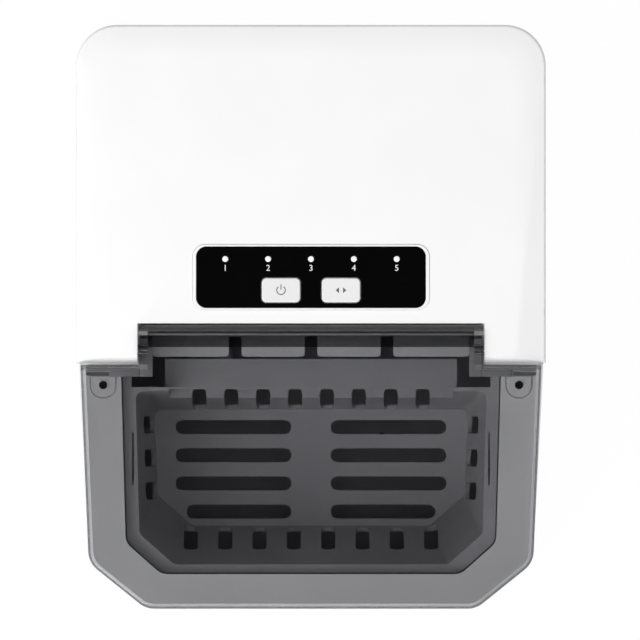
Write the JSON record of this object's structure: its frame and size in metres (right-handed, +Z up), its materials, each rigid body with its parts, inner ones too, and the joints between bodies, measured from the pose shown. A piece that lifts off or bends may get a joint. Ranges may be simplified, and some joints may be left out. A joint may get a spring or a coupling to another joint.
{
  "type": "portable ice maker",
  "caption": "Countertop ice maker with a white case, a smoked hinged lid over a slotted ice basket, a push-button panel and its cooling and water circuits inside.",
  "frame": {"origin": "on the table under the middle of the machine's outline", "axes": "+X to the user's right, +Y to the rear, +Z up"},
  "size_m": [0.23, 0.286, 0.298],
  "materials": {
    "white_shell": "glossy white moulded ABS",
    "deck_white": "white moulded ABS",
    "black_gloss": "black printed acrylic plate",
    "button_white": "satin off-white keycap",
    "lamp_lens": "milky light pipe",
    "smoked_clear": "smoked clear styrene",
    "basket_grey": "grey moulded polypropylene",
    "shovel_grey": "pale grey moulded polypropylene",
    "tank_plastic": "dark moulded polypropylene",
    "tray_plastic": "natural moulded acetal",
    "float_plastic": "white foamed plastic",
    "fan_plastic": "black moulded nylon",
    "black_plastic": "black moulded plastic",
    "foam": "expanded foam",
    "clear_hose": "milky silicone hose",
    "rubber": "black rubber",
    "cable_sheath": "grey cable sheath",
    "grey_steel": "pale grey powder coat",
    "zinc_steel": "zinc-coated sheet steel",
    "screw_steel": "bright steel",
    "motor_metal": "zinc-coated can",
    "black_metal": "black enamelled steel",
    "fin_aluminium": "mill-finish aluminium",
    "copper": "copper tube",
    "brass": "brass body",
    "nickel_copper": "nickel-plated copper",
    "circuit_board": "green circuit board"
  },
  "bodies": {
    "housing": {"base_pan": "zinc_steel", "rubber_feet": "rubber", "body_shell": "white_shell", "rear_panel": "grey_steel", "rear_panel_screws": "screw_steel", "power_gland": "black_plastic", "top_cover": "white_shell", "panel_bezel": "white_shell", "panel_overlay": "black_gloss", "led_lenses": "lamp_lens", "control_board": "circuit_board", "board_screws": "screw_steel", "tact_switches": "black_plastic", "hinge_pins": "screw_steel", "deck_frame": "deck_white", "deck_screws": "screw_steel", "water_tank": "tank_plastic", "tank_insulation": "foam", "tray_bearing": "tray_plastic", "tray_motor": "motor_metal", "evaporator": "nickel_copper", "evaporator_bracket": "zinc_steel", "tray_fill_spout": "tray_plastic", "water_pump": "black_plastic", "pump_bracket": "tray_plastic", "tank_outlet": "tray_plastic", "pump_inlet_hose": "clear_hose", "pump_outlet_hose": "clear_hose", "level_stem": "tray_plastic", "ice_full_sensors": "black_plastic", "drain_fitting": "tray_plastic", "compressor": "black_metal", "compressor_grommets": "rubber", "compressor_bolts": "screw_steel", "condenser": "fin_aluminium", "fan_shroud": "black_plastic", "fan_motor": "motor_metal", "discharge_pipe": "copper", "suction_pipe": "copper", "liquid_pipe": "copper", "filter_drier": "copper", "capillary_tube": "copper", "hot_gas_valve": "brass", "hot_gas_pipe": "copper", "power_board": "circuit_board", "panel_cable": "cable_sheath"},
    "lid": {"lid": "smoked_clear"},
    "on_off_key": {"on_off_button": "button_white"},
    "select_key": {"select_button": "button_white"},
    "tray": {"water_tray": "tray_plastic"},
    "shovel": {"ice_shovel": "shovel_grey"},
    "fan": {"fan_blade": "fan_plastic"},
    "float": {"level_float": "float_plastic"},
    "basket": {"ice_basket": "basket_grey"},
    "drain_plug": {"drain_cap": "white_shell"}
  },
  "joints": [
    {"name": "lid_hinge", "type": "hinge", "parent": "housing", "child": "lid", "pos_m": [0, -0.016, 0.29], "axis": [-1, 0, 0], "range_deg": [0, 95]},
    {"name": "on_off_press", "type": "slide", "parent": "housing", "child": "on_off_key", "axis": [0, 0, -1], "range_m": [0, 0.0008], "stiffness_N_per_m": 800},
    {"name": "select_press", "type": "slide", "parent": "housing", "child": "select_key", "axis": [0, 0, -1], "range_m": [0, 0.0008], "stiffness_N_per_m": 800},
    {"name": "tray_tilt", "type": "hinge", "parent": "housing", "child": "tray", "pos_m": [0, 0.02, 0.246], "axis": [1, 0, 0], "range_deg": [0, 75]},
    {"name": "shovel_swing", "type": "hinge", "parent": "housing", "child": "shovel", "pos_m": [0, -0.0065, 0.264], "axis": [-1, 0, 0], "range_deg": [0, 35]},
    {"name": "fan_spin", "type": "hinge", "parent": "housing", "child": "fan", "pos_m": [0.054, 0.101, 0.1], "axis": [0, 1, 0], "continuous": true},
    {"name": "float_rise", "type": "slide", "parent": "housing", "child": "float", "axis": [0, 0, 1], "range_m": [0, 0.028]},
    {"name": "basket_lift", "type": "slide", "parent": "housing", "child": "basket", "axis": [0, 0, 1], "range_m": [0, 0.008]},
    {"name": "drain_turn", "type": "hinge", "parent": "housing", "child": "drain_plug", "pos_m": [0.109, -0.086, 0.106], "axis": [1, 0, 0], "range_deg": [0, 360]}
  ],
  "couplings": [
    {"joint": "shovel_swing", "follows": "tray_tilt", "ratio": 0.46667}
  ]
}
